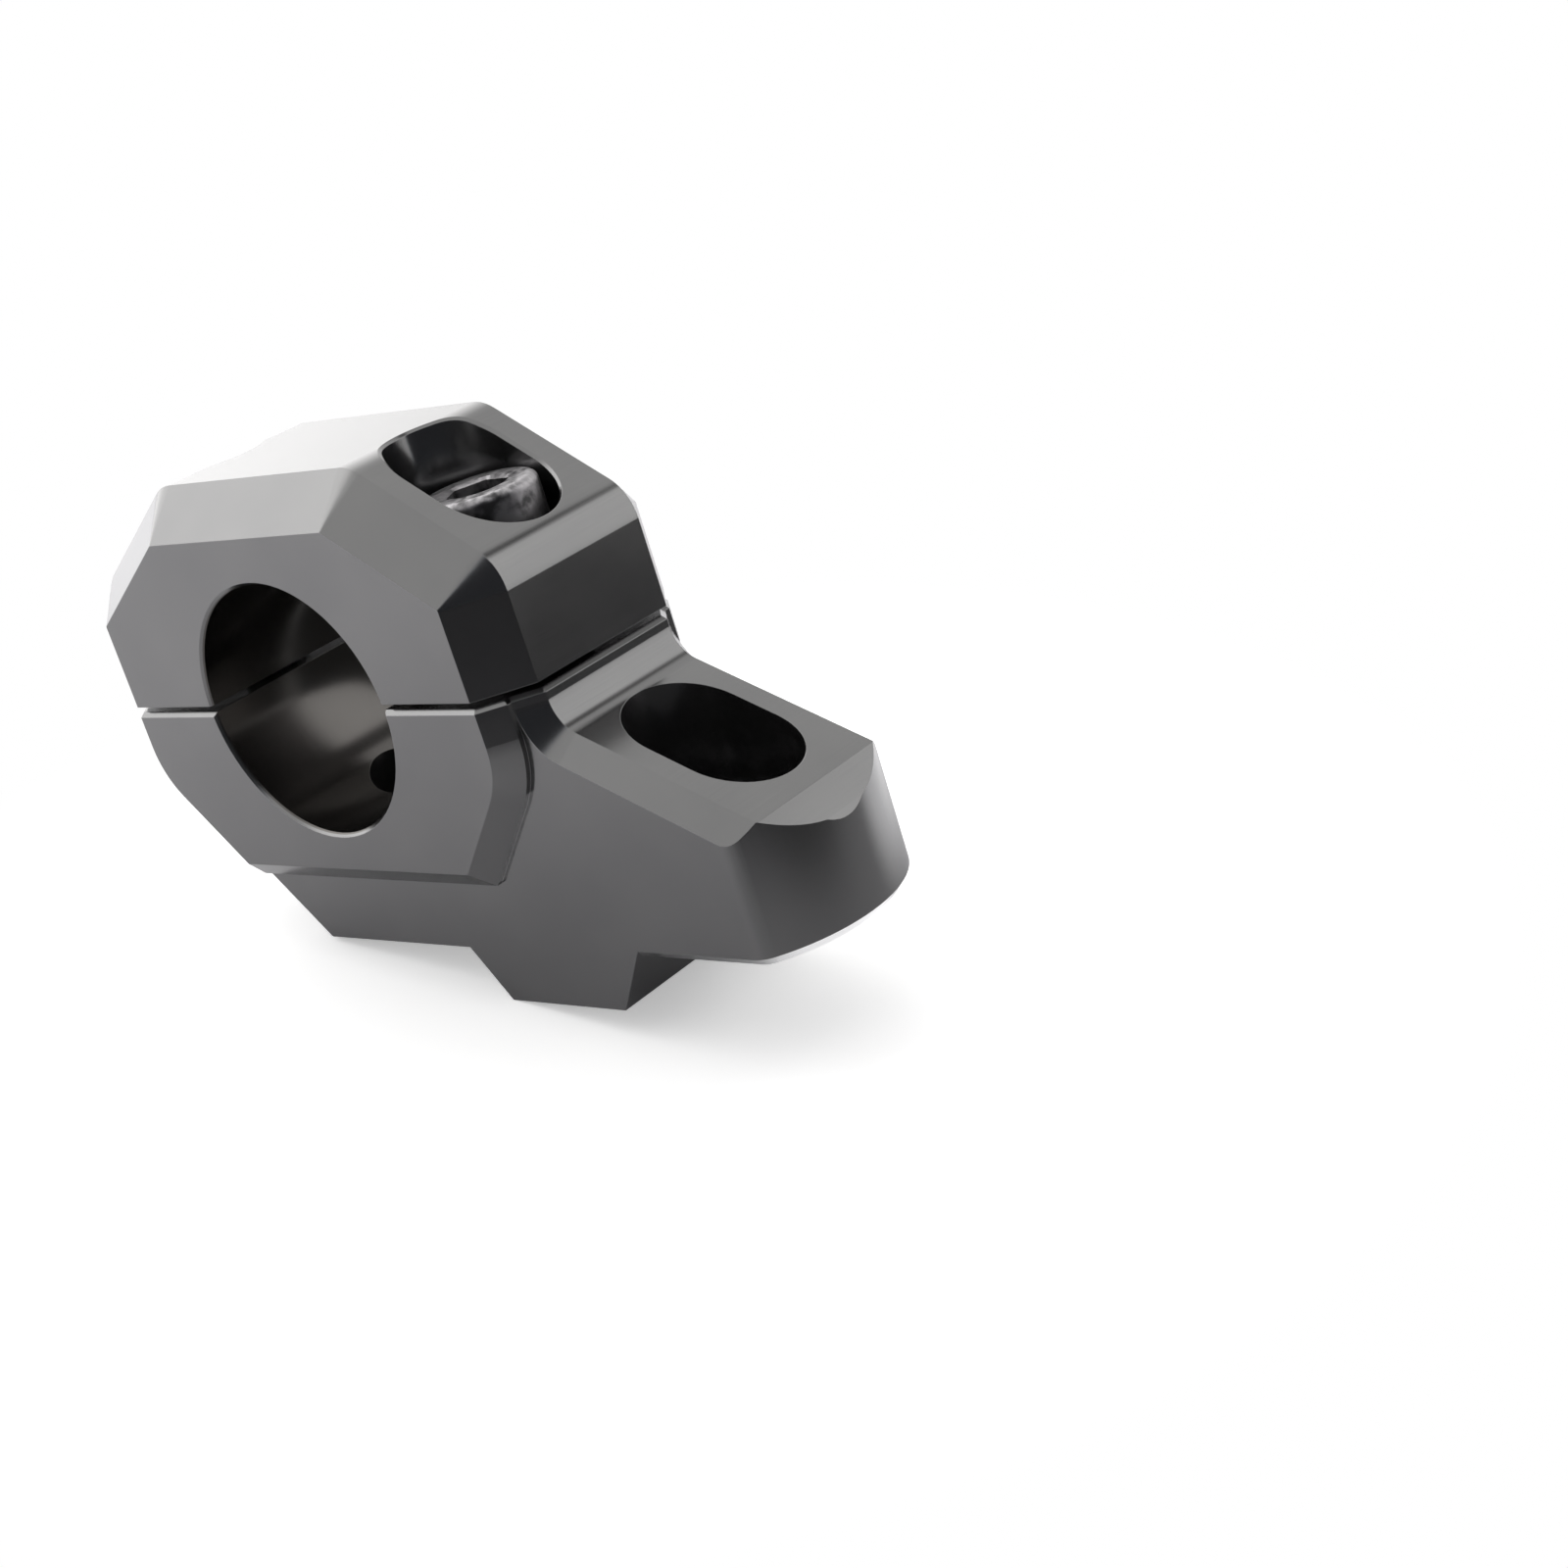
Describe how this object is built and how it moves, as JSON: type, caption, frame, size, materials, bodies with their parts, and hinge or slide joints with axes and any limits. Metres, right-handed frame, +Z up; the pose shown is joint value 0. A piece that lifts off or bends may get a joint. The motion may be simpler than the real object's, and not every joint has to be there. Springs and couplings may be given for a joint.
{
  "type": "motorcycle bar riser",
  "caption": "Machined aluminium handlebar riser: a split bar clamp with a bolted cap on a base with a forward arm, a slotted fixing hole, a plain fixing hole and a locating nub underneath.",
  "frame": {"origin": "centre of the bar bore at mid width", "axes": "+X along the bar, +Y towards the rounded end of the arm, +Z up, square to the split of the clamp"},
  "size_m": [0.0296, 0.0924, 0.0595],
  "materials": {
    "anodised_aluminium": "satin black anodised",
    "screw_steel": "polished, darkened steel"
  },
  "bodies": {
    "root": {"riser_base": "anodised_aluminium", "clamp_cap": "anodised_aluminium", "front_cap_screw": "screw_steel", "rear_cap_screw": "screw_steel"}
  },
  "joints": []
}
